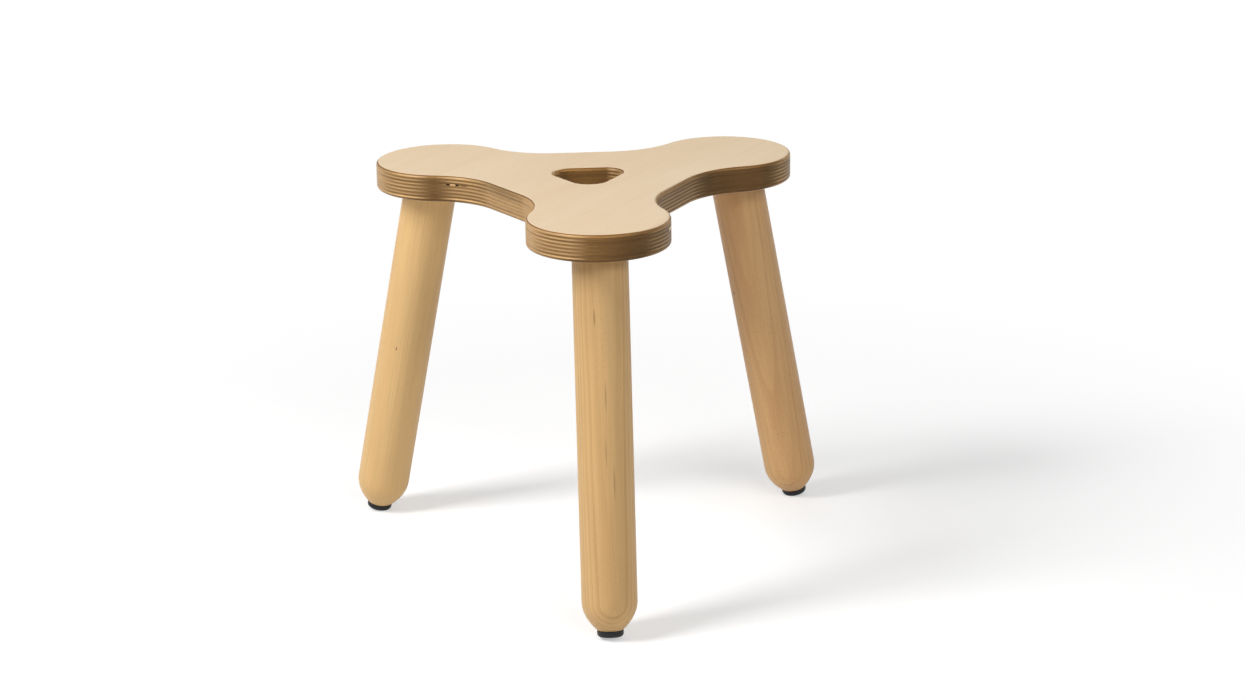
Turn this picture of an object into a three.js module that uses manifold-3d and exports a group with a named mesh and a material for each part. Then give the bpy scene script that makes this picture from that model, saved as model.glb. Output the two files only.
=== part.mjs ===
// A low stacking stool: a seat of birch plywood with three lobes and a hand hole, on three
// splayed round legs of beech. Each leg stands square-ended in a shallow pocket that is bored
// into the underside of the seat at the angle of the leg, and is drawn up by a hanger bolt
// into a threaded insert. A plastic glide is nailed under each leg.
// Millimetres, +Z up. The stool stands on z = 0 and its front lobe points along -Y.
import * as THREE from 'three';
import { mergeVertices } from 'three/addons/utils/BufferGeometryUtils.js';
import Module from 'manifold-3d';

// Seat
const SEAT_HEIGHT = 306;
const SEAT_THICKNESS = 21;
const SEAT_EDGE_ROUND = 2.5;
const LOBE_REACH = 128.5;
const LOBE_RADIUS = 54;
const WAIST_DISTANCE = 76.5;
const NOTCH_CORNER_RADIUS = 61.5;
const HAND_HOLE_FLAT_DISTANCE = 21.5;
const HAND_HOLE_CORNER_RADIUS = 14;

// Legs
const SIDES = ['front', 'right', 'left'];
const LEG_DIAMETER = 42;
const LEG_SPLAY_DEGREES = 12;
const LEG_BEYOND_LOBE_CENTRE = 12.5;
const LEG_TOP_CHAMFER = 1;
const FOOT_ROUND_HEIGHT = 22;
const FOOT_SHOULDER_HEIGHT = 10.5;

// Leg pockets and fixings. A pocket is sunk square to its leg, so it is deeper on the outer
// side, and the insert above it leaves a skin of wood under the top of the seat.
const POCKET_LEAST_DEPTH = 0.6;
const SEAT_SKIN = 3;
const INSERT_DIAMETER = 12;
const INSERT_CHAMFER = 1;
const BOLT_DIAMETER = 8;
const BOLT_LENGTH_IN_LEG = 45;
const BOLT_POINT_LENGTH = 8;
const BOLT_POINT_DIAMETER = 2;
const BOLT_NECK_DIAMETER = 6.5;
const BOLT_NECK_LENGTH = 4;

// Glides and their nails
const GLIDE_DIAMETER = 20;
const GLIDE_THICKNESS = 5;
const GLIDE_EDGE_ROUND = 2.5;
const NAIL_DIAMETER = 2;
const NAIL_LENGTH = 18;
const NAIL_POINT_LENGTH = 4;
const NAIL_POINT_DIAMETER = 0.6;
const NAIL_HEAD_DIAMETER = 8;
const NAIL_HEAD_THICKNESS = 1;

// Fits: the gap left between a piece and what it is housed in, and how far a cut overruns
const CLEARANCE = 0.3;
const CUT_OVERRUN = 4;

// Smoothness of the round shapes, in steps
const LOBE_STEPS = 40;
const NOTCH_CORNER_STEPS = 9;
const HAND_HOLE_CORNER_STEPS = 12;
const EDGE_ROUND_STEPS = 3;
const LEG_STEPS = 32;
const FOOT_STEPS = 9;
const SMALL_ROUND_STEPS = 20;
const GLIDE_EDGE_STEPS = 4;

const wasm = await Module();
wasm.setup();

const LEG_SPLAY = THREE.MathUtils.degToRad(LEG_SPLAY_DEGREES);
const SIDE_TURN = (2 * Math.PI) / SIDES.length;
const NOTCH_TURN = SIDE_TURN / 2;
const LEG_RADIUS = LEG_DIAMETER / 2;
const GLIDE_RADIUS = GLIDE_DIAMETER / 2;
const SEAT_UNDERSIDE = SEAT_HEIGHT - SEAT_THICKNESS;
const LEG_REACH = LOBE_REACH + LEG_BEYOND_LOBE_CENTRE;

// Each lobe and its leg lie on one ray from the stool's axis, the front one along -Y
const SIDE_ANGLES = SIDES.map((side, index) => index * SIDE_TURN - Math.PI / 2);

const woodColour = (hex, roughness) => new THREE.MeshStandardMaterial({ color: hex, roughness, metalness: 0 });
const BIRCH = woodColour(0xe3cca8, 0.5);
const BEECH = woodColour(0xd0aa74, 0.5);
const STEEL = new THREE.MeshStandardMaterial({ color: 0xb4b6b8, roughness: 0.35, metalness: 1 });
const BLACK_PLASTIC = new THREE.MeshStandardMaterial({ color: 0x161616, roughness: 0.45, metalness: 0 });

// A geometry as one closed solid, ready to be cut
function solidOf(geometry, matrix = new THREE.Matrix4()) {
  const bare = geometry.clone().applyMatrix4(matrix);
  bare.deleteAttribute('normal');
  bare.deleteAttribute('uv');
  const merged = mergeVertices(bare);
  const vertProperties = Float32Array.from(merged.attributes.position.array);
  const triVerts = Uint32Array.from(merged.index.array);
  return new wasm.Manifold(new wasm.Mesh({ numProp: 3, vertProperties, triVerts }));
}

function geometryOf(solid) {
  const mesh = solid.getMesh();
  const geometry = new THREE.BufferGeometry();
  geometry.setAttribute('position', new THREE.BufferAttribute(Float32Array.from(mesh.vertProperties), 3));
  geometry.setIndex(new THREE.BufferAttribute(Uint32Array.from(mesh.triVerts), 1));
  geometry.computeVertexNormals();
  return geometry;
}

// A turned shape from its outline of [radius, height] points, with its axis on Z.
// The outline starts and ends on the axis and runs anticlockwise, from the bottom up.
function turned(outline, steps) {
  const points = outline.map(([radius, height]) => new THREE.Vector2(radius, height));
  return new THREE.LatheGeometry(points, steps).rotateX(Math.PI / 2);
}

function namedMesh(name, geometry, material) {
  const mesh = new THREE.Mesh(geometry, material);
  mesh.name = name;
  return mesh;
}

const onRay = (distance, angle) => [distance * Math.cos(angle), distance * Math.sin(angle)];

function arcPoints([x, y], radius, from, to, steps) {
  const points = [];
  for (let i = 0; i <= steps; i += 1) {
    const angle = from + ((to - from) * i) / steps;
    points.push(new THREE.Vector2(x + radius * Math.cos(angle), y + radius * Math.sin(angle)));
  }
  return points;
}

// Where the plan of the seat turns, in a frame whose first axis runs out along the middle of a
// notch: a lobe, the hollow corner that it runs into, and the straight waist at the bottom.
const lobeAlong = LOBE_REACH * Math.cos(NOTCH_TURN);
const lobeAcross = LOBE_REACH * Math.sin(NOTCH_TURN);
const cornerAlong = WAIST_DISTANCE + NOTCH_CORNER_RADIUS;
const cornerToLobe = LOBE_RADIUS + NOTCH_CORNER_RADIUS;
const cornerAcross = lobeAcross - Math.sqrt(cornerToLobe ** 2 - (cornerAlong - lobeAlong) ** 2);
const cornerTurn = Math.atan2(lobeAcross - cornerAcross, cornerAlong - lobeAlong);
const lobeHalfTurn = NOTCH_TURN + cornerTurn;

function seatOutline() {
  const outline = [];
  for (const lobe of SIDE_ANGLES) {
    const notch = lobe + NOTCH_TURN;
    const inward = notch + Math.PI;
    const [x, y] = onRay(cornerAlong, notch);
    const [dx, dy] = onRay(cornerAcross, notch + Math.PI / 2);
    const centre = onRay(LOBE_REACH, lobe);
    const near = [x - dx, y - dy];
    const far = [x + dx, y + dy];
    const lobeArc = arcPoints(centre, LOBE_RADIUS, lobe - lobeHalfTurn, lobe + lobeHalfTurn, LOBE_STEPS);
    const nearArc = arcPoints(near, NOTCH_CORNER_RADIUS, inward + cornerTurn, inward, NOTCH_CORNER_STEPS);
    const farArc = arcPoints(far, NOTCH_CORNER_RADIUS, inward, inward - cornerTurn, NOTCH_CORNER_STEPS);
    outline.push(...lobeArc, ...nearArc.slice(1), ...farArc.slice(0, -1));
  }
  return outline;
}

// A triangle with round corners, which point at the lobes
function handHoleOutline() {
  const cornerReach = (HAND_HOLE_FLAT_DISTANCE - HAND_HOLE_CORNER_RADIUS) / Math.cos(NOTCH_TURN);
  const outline = [];
  for (const angle of SIDE_ANGLES) {
    const centre = onRay(cornerReach, angle);
    const from = angle - NOTCH_TURN;
    const to = angle + NOTCH_TURN;
    outline.push(...arcPoints(centre, HAND_HOLE_CORNER_RADIUS, from, to, HAND_HOLE_CORNER_STEPS));
  }
  return outline;
}

// The frame of a leg: its origin is on the leg's axis in the plane of the seat's underside,
// and its +Z runs up the leg
function legFrame(angle) {
  const ray = new THREE.Group();
  ray.rotation.z = angle;
  const leg = new THREE.Group();
  leg.position.set(LEG_REACH, 0, SEAT_UNDERSIDE);
  leg.rotation.y = -LEG_SPLAY;
  ray.add(leg);
  ray.updateMatrixWorld(true);
  return { ray, leg };
}

// Heights along the leg, in its frame
const pocketRadius = LEG_RADIUS + CLEARANCE;
const insertHoleRadius = INSERT_DIAMETER / 2 + CLEARANCE;
const pocketRise = POCKET_LEAST_DEPTH + pocketRadius * Math.sin(LEG_SPLAY);
const pocketFloor = pocketRise / Math.cos(LEG_SPLAY);
const insertHoleRise = SEAT_THICKNESS - SEAT_SKIN - insertHoleRadius * Math.sin(LEG_SPLAY);
const insertHoleTop = insertHoleRise / Math.cos(LEG_SPLAY);
const insertTop = insertHoleTop - CLEARANCE;
const boltTop = insertTop - CLEARANCE;
const boltBottom = pocketFloor - BOLT_LENGTH_IN_LEG;
const legTop = pocketFloor - CLEARANCE;
// The tilted glide touches the floor with the inner side of its rounded rim
const rimCentreDrop = SEAT_UNDERSIDE - GLIDE_EDGE_ROUND;
const rimCentreInset = (GLIDE_RADIUS - GLIDE_EDGE_ROUND) * Math.sin(LEG_SPLAY);
const glideBottom = -((rimCentreDrop - rimCentreInset) / Math.cos(LEG_SPLAY) + GLIDE_EDGE_ROUND);
const glideTop = glideBottom + GLIDE_THICKNESS;
const legBottom = glideTop + CLEARANCE;
const nailHeadBottom = glideBottom + (GLIDE_THICKNESS - NAIL_HEAD_THICKNESS) / 2;
const nailHeadTop = nailHeadBottom + NAIL_HEAD_THICKNESS;
const nailTop = nailHeadTop + NAIL_LENGTH;

// A round hole along a leg's axis, from one height to another in the leg's frame
function boring(radius, from, to, steps) {
  const geometry = new THREE.CylinderGeometry(radius, radius, to - from, steps);
  return geometry.rotateX(Math.PI / 2).translate(0, 0, (from + to) / 2);
}

function seatGeometry() {
  const shape = new THREE.Shape(seatOutline());
  shape.holes.push(new THREE.Path(handHoleOutline()));
  const board = new THREE.ExtrudeGeometry(shape, {
    depth: SEAT_THICKNESS - 2 * SEAT_EDGE_ROUND,
    bevelThickness: SEAT_EDGE_ROUND,
    bevelSize: SEAT_EDGE_ROUND,
    bevelOffset: -SEAT_EDGE_ROUND,
    bevelSegments: EDGE_ROUND_STEPS,
  });
  board.translate(0, 0, SEAT_UNDERSIDE + SEAT_EDGE_ROUND);
  const pocketMouth = -(pocketRadius * Math.tan(LEG_SPLAY) + CUT_OVERRUN);
  const pocket = boring(pocketRadius, pocketMouth, pocketFloor, LEG_STEPS);
  const insertHole = boring(insertHoleRadius, 0, insertHoleTop, SMALL_ROUND_STEPS);
  let seat = solidOf(board);
  for (const angle of SIDE_ANGLES) {
    const frame = legFrame(angle).leg.matrixWorld;
    seat = seat.subtract(solidOf(pocket, frame)).subtract(solidOf(insertHole, frame));
  }
  return geometryOf(seat);
}

function legGeometry() {
  const boltHole = BOLT_DIAMETER / 2 + CLEARANCE;
  const nailHole = NAIL_DIAMETER / 2 + CLEARANCE;
  // The foot curves in from the shank to the glide. Its end tangents cross at the shoulder.
  const foot = new THREE.QuadraticBezierCurve(
    new THREE.Vector2(GLIDE_RADIUS, legBottom),
    new THREE.Vector2(LEG_RADIUS, legBottom + FOOT_SHOULDER_HEIGHT),
    new THREE.Vector2(LEG_RADIUS, legBottom + FOOT_ROUND_HEIGHT),
  );
  return turned([
    [0, nailTop + CLEARANCE],
    [nailHole, nailTop + CLEARANCE],
    [nailHole, legBottom],
    ...foot.getPoints(FOOT_STEPS).map((point) => [point.x, point.y]),
    [LEG_RADIUS, legTop - LEG_TOP_CHAMFER],
    [LEG_RADIUS - LEG_TOP_CHAMFER, legTop],
    [boltHole, legTop],
    [boltHole, boltBottom - CLEARANCE],
    [0, boltBottom - CLEARANCE],
  ], LEG_STEPS);
}

function insertGeometry() {
  const outer = INSERT_DIAMETER / 2;
  const inner = BOLT_DIAMETER / 2 + CLEARANCE;
  return turned([
    [inner, pocketFloor],
    [outer, pocketFloor],
    [outer, insertTop - INSERT_CHAMFER],
    [outer - INSERT_CHAMFER, insertTop],
    [inner, insertTop],
    [inner, pocketFloor],
  ], SMALL_ROUND_STEPS);
}

// Wood thread with a point below, plain neck in the joint, machine thread above
function boltGeometry() {
  const radius = BOLT_DIAMETER / 2;
  const neck = BOLT_NECK_DIAMETER / 2;
  const neckBottom = legTop - BOLT_NECK_LENGTH;
  const step = radius - neck;
  return turned([
    [0, boltBottom],
    [BOLT_POINT_DIAMETER / 2, boltBottom],
    [radius, boltBottom + BOLT_POINT_LENGTH],
    [radius, neckBottom - step],
    [neck, neckBottom],
    [neck, legTop],
    [radius, legTop + step],
    [radius, boltTop - step],
    [neck, boltTop],
    [0, boltTop],
  ], SMALL_ROUND_STEPS);
}

// The glide is moulded round the head of its nail, which its shank's hole leaves open
function glideGeometry() {
  const shankHole = NAIL_DIAMETER / 2 + CLEARANCE;
  const headHole = NAIL_HEAD_DIAMETER / 2 + CLEARANCE;
  const rimCentre = [GLIDE_RADIUS - GLIDE_EDGE_ROUND, glideBottom + GLIDE_EDGE_ROUND];
  const rim = arcPoints(rimCentre, GLIDE_EDGE_ROUND, -Math.PI / 2, 0, GLIDE_EDGE_STEPS);
  return turned([
    [0, glideBottom],
    ...rim.map((point) => [point.x, point.y]),
    [GLIDE_RADIUS, glideTop],
    [shankHole, glideTop],
    [shankHole, nailHeadTop + CLEARANCE],
    [headHole, nailHeadTop + CLEARANCE],
    [headHole, nailHeadBottom - CLEARANCE],
    [0, nailHeadBottom - CLEARANCE],
  ], LEG_STEPS);
}

function nailGeometry() {
  const shank = NAIL_DIAMETER / 2;
  return turned([
    [0, nailHeadBottom],
    [NAIL_HEAD_DIAMETER / 2, nailHeadBottom],
    [NAIL_HEAD_DIAMETER / 2, nailHeadTop],
    [shank, nailHeadTop],
    [shank, nailTop - NAIL_POINT_LENGTH],
    [NAIL_POINT_DIAMETER / 2, nailTop],
    [0, nailTop],
  ], SMALL_ROUND_STEPS);
}

const assembly = new THREE.Group();
assembly.add(namedMesh('seat', seatGeometry(), BIRCH));
SIDES.forEach((side, index) => {
  const { ray, leg } = legFrame(SIDE_ANGLES[index]);
  leg.add(namedMesh(`leg_${side}`, legGeometry(), BEECH));
  leg.add(namedMesh(`threaded_insert_${side}`, insertGeometry(), STEEL));
  leg.add(namedMesh(`hanger_bolt_${side}`, boltGeometry(), STEEL));
  leg.add(namedMesh(`glide_${side}`, glideGeometry(), BLACK_PLASTIC));
  leg.add(namedMesh(`glide_nail_${side}`, nailGeometry(), STEEL));
  assembly.add(ray);
});

// The origin is on the floor, under the middle of the box that the stool fills
const box = new THREE.Box3().setFromObject(assembly, true);
const middle = box.getCenter(new THREE.Vector3());
assembly.position.set(-middle.x, -middle.y, -box.min.z);

const stool = new THREE.Group();
stool.add(assembly);

export default stool;
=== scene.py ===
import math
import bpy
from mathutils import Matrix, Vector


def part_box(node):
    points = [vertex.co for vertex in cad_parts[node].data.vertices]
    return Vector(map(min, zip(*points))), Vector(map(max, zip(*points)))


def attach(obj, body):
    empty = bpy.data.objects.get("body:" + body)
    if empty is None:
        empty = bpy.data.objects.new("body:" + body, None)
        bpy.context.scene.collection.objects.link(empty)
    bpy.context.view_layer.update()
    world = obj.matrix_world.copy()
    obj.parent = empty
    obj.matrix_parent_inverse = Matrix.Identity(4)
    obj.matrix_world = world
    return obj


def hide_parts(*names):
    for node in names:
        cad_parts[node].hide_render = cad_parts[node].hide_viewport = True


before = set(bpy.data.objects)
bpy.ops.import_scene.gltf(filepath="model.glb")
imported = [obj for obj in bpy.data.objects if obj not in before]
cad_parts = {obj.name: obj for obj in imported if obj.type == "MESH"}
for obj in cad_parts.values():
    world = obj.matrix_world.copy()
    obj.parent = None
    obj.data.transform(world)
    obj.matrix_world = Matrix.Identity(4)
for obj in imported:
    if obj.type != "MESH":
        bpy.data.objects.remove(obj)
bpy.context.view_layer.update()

# A low stacking stool: a three-lobed seat of birch plywood on splayed legs of turned beech,
# each with a black plastic glide. Metres, +Z up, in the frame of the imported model.
from types import SimpleNamespace

import bmesh
import bpy
from mathutils import Matrix, Vector
from mathutils.geometry import tessellate_polygon

MM = 0.001

# Seat
LOBE_REACH = 128.5 * MM
LOBE_RADIUS = 54 * MM
WAIST_DISTANCE = 76.5 * MM
NOTCH_CORNER_RADIUS = 61.5 * MM
HAND_HOLE_FLAT_DISTANCE = 21.5 * MM
HAND_HOLE_CORNER_RADIUS = 14 * MM
SEAT_EDGE_ROUND = 2.5 * MM
SHADING_MARGIN = 0.6 * MM
PLY_COUNT = 15
PLY_THICKNESS = 1.385 * MM
FACE_VENEER_THICKNESS = 0.78 * MM

# Legs, their housings in the seat, and their fixings
SIDES = ("front", "right", "left")
LEG_DIAMETER = 42 * MM
LEG_SPLAY = math.radians(12)
LEG_BEYOND_LOBE_CENTRE = 12.5 * MM
LEG_TOP_CHAMFER = 1 * MM
FOOT_ROUND_HEIGHT = 22 * MM
FOOT_SHOULDER_HEIGHT = 10.5 * MM
FOOT_ARRIS = 0.4 * MM
POCKET_LEAST_DEPTH = 0.6 * MM
SEAT_SKIN = 3 * MM
INSERT_DIAMETER = 12 * MM
BOLT_DIAMETER = 8 * MM
BOLT_LENGTH_IN_LEG = 45 * MM
CLEARANCE = 0.3 * MM

# Glides
GLIDE_DIAMETER = 20 * MM
GLIDE_THICKNESS = 5 * MM
GLIDE_EDGE_ROUND = 2.5 * MM
GLIDE_LIP_ROUND = 0.5 * MM
NAIL_DIAMETER = 2 * MM
NAIL_LENGTH = 18 * MM
NAIL_HEAD_DIAMETER = 8 * MM
NAIL_HEAD_THICKNESS = 1 * MM

# Smoothness, in steps
LOBE_STEPS = 96
NOTCH_CORNER_STEPS = 28
HAND_HOLE_CORNER_STEPS = 32
EDGE_ROUND_STEPS = 8
WALL_STEPS = 6
TURNED_STEPS = 128
SHANK_STEPS = 24
FOOT_STEPS = 20
GLIDE_EDGE_STEPS = 10
SMALL_ROUND_STEPS = 48
CUTTER_SUBDIVISIONS = 3
SHARP_ANGLE = math.radians(38)

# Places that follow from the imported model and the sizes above
SEAT_LOW, SEAT_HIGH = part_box("seat")
SEAT_TOP = SEAT_HIGH.z
SEAT_UNDERSIDE = SEAT_LOW.z
SEAT_THICKNESS = SEAT_TOP - SEAT_UNDERSIDE
AXIS_Y = SEAT_LOW.y + LOBE_REACH + LOBE_RADIUS
LEG_REACH = LOBE_REACH + LEG_BEYOND_LOBE_CENTRE
LEG_RADIUS = LEG_DIAMETER / 2
GLIDE_RADIUS = GLIDE_DIAMETER / 2
SIDE_TURN = 2 * math.pi / len(SIDES)
NOTCH_TURN = SIDE_TURN / 2
SIDE_ANGLES = [index * SIDE_TURN - math.pi / 2 for index in range(len(SIDES))]
POCKET_RADIUS = LEG_RADIUS + CLEARANCE
INSERT_HOLE_RADIUS = INSERT_DIAMETER / 2 + CLEARANCE
POCKET_FLOOR = (POCKET_LEAST_DEPTH + POCKET_RADIUS * math.sin(LEG_SPLAY)) / math.cos(LEG_SPLAY)
INSERT_HOLE_RISE = SEAT_THICKNESS - SEAT_SKIN - INSERT_HOLE_RADIUS * math.sin(LEG_SPLAY)
INSERT_HOLE_TOP = INSERT_HOLE_RISE / math.cos(LEG_SPLAY)
LEG_TOP = POCKET_FLOOR - CLEARANCE
RIM_INSET = (GLIDE_RADIUS - GLIDE_EDGE_ROUND) * math.sin(LEG_SPLAY)
RIM_DROP = SEAT_UNDERSIDE - GLIDE_EDGE_ROUND
GLIDE_BOTTOM = -((RIM_DROP - RIM_INSET) / math.cos(LEG_SPLAY) + GLIDE_EDGE_ROUND)
GLIDE_TOP = GLIDE_BOTTOM + GLIDE_THICKNESS
LEG_BOTTOM = GLIDE_TOP + CLEARANCE
NAIL_HEAD_BOTTOM = GLIDE_BOTTOM + (GLIDE_THICKNESS - NAIL_HEAD_THICKNESS) / 2
NAIL_HEAD_TOP = NAIL_HEAD_BOTTOM + NAIL_HEAD_THICKNESS
NAIL_TOP = NAIL_HEAD_TOP + NAIL_LENGTH

# The camera of the photograph, fitted to the stool's outline there: its place, its angles in
# radians, and its lens in pixels of the photograph
CAMERA_PLACE = Vector((-0.12355, -2.29930, 0.88993))
CAMERA_AZIMUTH = -0.063034
CAMERA_ELEVATION = 0.299956
CAMERA_ROLL = -0.014337
CAMERA_LENS_PIXELS = 3108.4
PHOTO_WIDTH_PIXELS = 1245
SENSOR_WIDTH_MM = 36


def linear(red, green, blue):
    """A colour given in 0 to 255 sRGB, as the linear colour that shaders take."""
    def channel(value):
        share = value / 255
        return share / 12.92 if share <= 0.04045 else ((share + 0.055) / 1.055) ** 2.4
    return (channel(red), channel(green), channel(blue), 1)


# Meshes

GRAIN_PLACE = "grain_place"


def on_ray(distance, angle):
    return Vector((distance * math.cos(angle), distance * math.sin(angle)))


def arc(centre, radius, start, end, steps, outward=1):
    """Points of an arc in plan, each with the direction that faces out of the wood."""
    points = []
    for step in range(steps + 1):
        angle = start + (end - start) * step / steps
        ray = Vector((math.cos(angle), math.sin(angle)))
        points.append((centre + ray * radius, ray * outward))
    return points


def seat_outline():
    """The plan of the seat: three round lobes that run into hollow corners, with a straight
    waist at the bottom of each notch."""
    lobe_along = LOBE_REACH * math.cos(NOTCH_TURN)
    lobe_across = LOBE_REACH * math.sin(NOTCH_TURN)
    corner_along = WAIST_DISTANCE + NOTCH_CORNER_RADIUS
    corner_to_lobe = LOBE_RADIUS + NOTCH_CORNER_RADIUS
    corner_across = lobe_across - math.sqrt(corner_to_lobe ** 2 - (corner_along - lobe_along) ** 2)
    corner_turn = math.atan2(lobe_across - corner_across, corner_along - lobe_along)
    half_turn = NOTCH_TURN + corner_turn
    outline = []
    for lobe in SIDE_ANGLES:
        centre = on_ray(LOBE_REACH, lobe)
        outline += arc(centre, LOBE_RADIUS, lobe - half_turn, lobe + half_turn, LOBE_STEPS)
        notch = lobe + NOTCH_TURN
        inward = notch + math.pi
        middle = on_ray(corner_along, notch)
        aside = on_ray(corner_across, notch + math.pi / 2)
        near = arc(middle - aside, NOTCH_CORNER_RADIUS, inward + corner_turn, inward,
                   NOTCH_CORNER_STEPS, -1)
        far = arc(middle + aside, NOTCH_CORNER_RADIUS, inward, inward - corner_turn,
                  NOTCH_CORNER_STEPS, -1)
        outline += near[1:] + far[:-1]
    return outline


def hand_hole_outline():
    """A triangle with round corners, which point at the lobes."""
    corner_reach = (HAND_HOLE_FLAT_DISTANCE - HAND_HOLE_CORNER_RADIUS) / math.cos(NOTCH_TURN)
    outline = []
    for angle in SIDE_ANGLES:
        start, end = angle - NOTCH_TURN, angle + NOTCH_TURN
        centre = on_ray(corner_reach, angle)
        outline += arc(centre, HAND_HOLE_CORNER_RADIUS, start, end, HAND_HOLE_CORNER_STEPS, -1)
    return outline


def edge_profile():
    """(inset, height) down the edge of the board: eased above and below, straight between.
    The first and last points lie on the flats, so that the flats shade flat."""
    upper = []
    for step in range(EDGE_ROUND_STEPS + 1):
        turn = math.pi / 2 * step / EDGE_ROUND_STEPS
        inset = SEAT_EDGE_ROUND * (1 - math.sin(turn))
        upper.append((inset, SEAT_TOP - SEAT_EDGE_ROUND * (1 - math.cos(turn))))
    lower = [(inset, SEAT_TOP + SEAT_UNDERSIDE - height) for inset, height in reversed(upper)]
    wall_top = SEAT_TOP - SEAT_EDGE_ROUND
    wall = SEAT_THICKNESS - 2 * SEAT_EDGE_ROUND
    between = [(0, wall_top - wall * step / WALL_STEPS) for step in range(1, WALL_STEPS)]
    margin = SEAT_EDGE_ROUND + SHADING_MARGIN
    return [(margin, SEAT_TOP)] + upper + between + lower + [(margin, SEAT_UNDERSIDE)]


def ring_of(mesh, points):
    return [mesh.verts.new(point) for point in points]


def bridge(mesh, first, second):
    """Quads between two closed rings with as many points each."""
    for index in range(len(first)):
        after = (index + 1) % len(first)
        mesh.faces.new((first[index], first[after], second[after], second[index]))


def fill(mesh, rings):
    """A flat face inside the first ring and outside the others, as triangles."""
    corners = [corner for ring in rings for corner in ring]
    for triangle in tessellate_polygon([[corner.co for corner in ring] for ring in rings]):
        if len(set(triangle)) == 3:
            mesh.faces.new([corners[index] for index in triangle])


def leg_frame(angle):
    """The frame of a leg: its origin is on the leg's axis in the plane of the seat's
    underside, and its +Z runs up the leg."""
    stool_axis = Matrix.Translation((0, AXIS_Y, 0))
    to_side = Matrix.Rotation(angle, 4, "Z")
    out_to_leg = Matrix.Translation((LEG_REACH, 0, SEAT_UNDERSIDE))
    splay = Matrix.Rotation(-LEG_SPLAY, 4, "Y")
    return stool_axis @ to_side @ out_to_leg @ splay


def add_object(name, data):
    """A new object of the scene, for a mesh, a lamp or a camera."""
    made = bpy.data.objects.new(name, data)
    bpy.context.scene.collection.objects.link(made)
    return made


def add_mesh_object(name, mesh):
    """The mesh, which is used up, as a new object of the scene."""
    data = bpy.data.meshes.new(name)
    mesh.to_mesh(data)
    mesh.free()
    return add_object(name, data)


def finish_mesh(name, mesh, material, node, place=None):
    """The mesh as an object that stands for a CAD node, smooth but for its sharp edges. It is
    moved from its own frame to its place, and keeps where it was in its own frame for its grain."""
    grain_place = mesh.verts.layers.float_vector.new(GRAIN_PLACE)
    for corner in mesh.verts:
        corner[grain_place] = corner.co
    mesh.transform(place or Matrix())
    bmesh.ops.recalc_face_normals(mesh, faces=mesh.faces)
    piece = add_mesh_object(name, mesh)
    piece.data.shade_smooth()
    piece.data.set_sharp_from_angle(angle=SHARP_ANGLE)
    piece.data.materials.append(material)
    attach(piece, "root")
    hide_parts(node)
    return piece


def ring_round_leg(mesh, frame_of_leg, radius, height, slope=0.0):
    """A ring about a leg's axis, at a height on it. With a slope it falls outwards."""
    points = []
    for step in range(SMALL_ROUND_STEPS):
        turn = 2 * math.pi * step / SMALL_ROUND_STEPS
        along = radius * math.cos(turn)
        points.append(frame_of_leg @ Vector((along, radius * math.sin(turn), height - along * slope)))
    return ring_of(mesh, points)


def add_pocket(mesh, frame_of_leg):
    """A leg's housing, bored square to the leg, and the blind hole for its insert.
    Returns the ring of its mouth, which lies level in the underside."""
    mouth = ring_round_leg(mesh, frame_of_leg, POCKET_RADIUS, 0, math.tan(LEG_SPLAY))
    floor = ring_round_leg(mesh, frame_of_leg, POCKET_RADIUS, POCKET_FLOOR)
    hole_mouth = ring_round_leg(mesh, frame_of_leg, INSERT_HOLE_RADIUS, POCKET_FLOOR)
    hole_end = ring_round_leg(mesh, frame_of_leg, INSERT_HOLE_RADIUS, INSERT_HOLE_TOP)
    bridge(mesh, mouth, floor)
    bridge(mesh, floor, hole_mouth)
    bridge(mesh, hole_mouth, hole_end)
    mesh.faces.new(hole_end)
    return mouth


def make_seat(material):
    """The board with its hand hole and leg housings, and the flaws of its edge."""
    mesh = bmesh.new()
    axis = Vector((0, AXIS_Y))
    flats = []
    for outline in (seat_outline(), hand_hole_outline()):
        rings = []
        for inset, height in edge_profile():
            points = [(axis + point - facing * inset).to_3d() + Vector((0, 0, height))
                      for point, facing in outline]
            rings.append(ring_of(mesh, points))
        for upper, lower in zip(rings, rings[1:]):
            bridge(mesh, upper, lower)
        flats.append((rings[0], rings[-1]))
    pockets = [add_pocket(mesh, leg_frame(angle)) for angle in SIDE_ANGLES]
    fill(mesh, [top for top, underside in flats])
    fill(mesh, [underside for top, underside in flats] + pockets)
    board = finish_mesh("seat_board", mesh, material, "seat")
    for gap in CORE_GAPS:
        cut_hollow(board, on_edge(gap, CORE_GAP_DEPTH), CORE_GAP_SIZE)
    cut_hollow(board, on_edge(CHIP, CHIP_DEPTH), CHIP_SIZE)


def cut_hollow(piece, place, size):
    """Cuts an ellipsoid, centred at a place on the surface, out of a piece."""
    mesh = bmesh.new()
    bmesh.ops.create_icosphere(mesh, subdivisions=CUTTER_SUBDIVISIONS, radius=1,
                               matrix=place @ Matrix.Diagonal((*size, 1)))
    cutter = add_mesh_object("cutter", mesh)
    cut = piece.modifiers.new("cut", "BOOLEAN")
    cut.operation = "DIFFERENCE"
    cut.solver = "EXACT"
    cut.object = cutter
    evaluated = piece.evaluated_get(bpy.context.evaluated_depsgraph_get())
    cut_data = bpy.data.meshes.new_from_object(evaluated)
    piece.modifiers.clear()
    piece.data = cut_data
    bpy.data.objects.remove(cutter)


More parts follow.
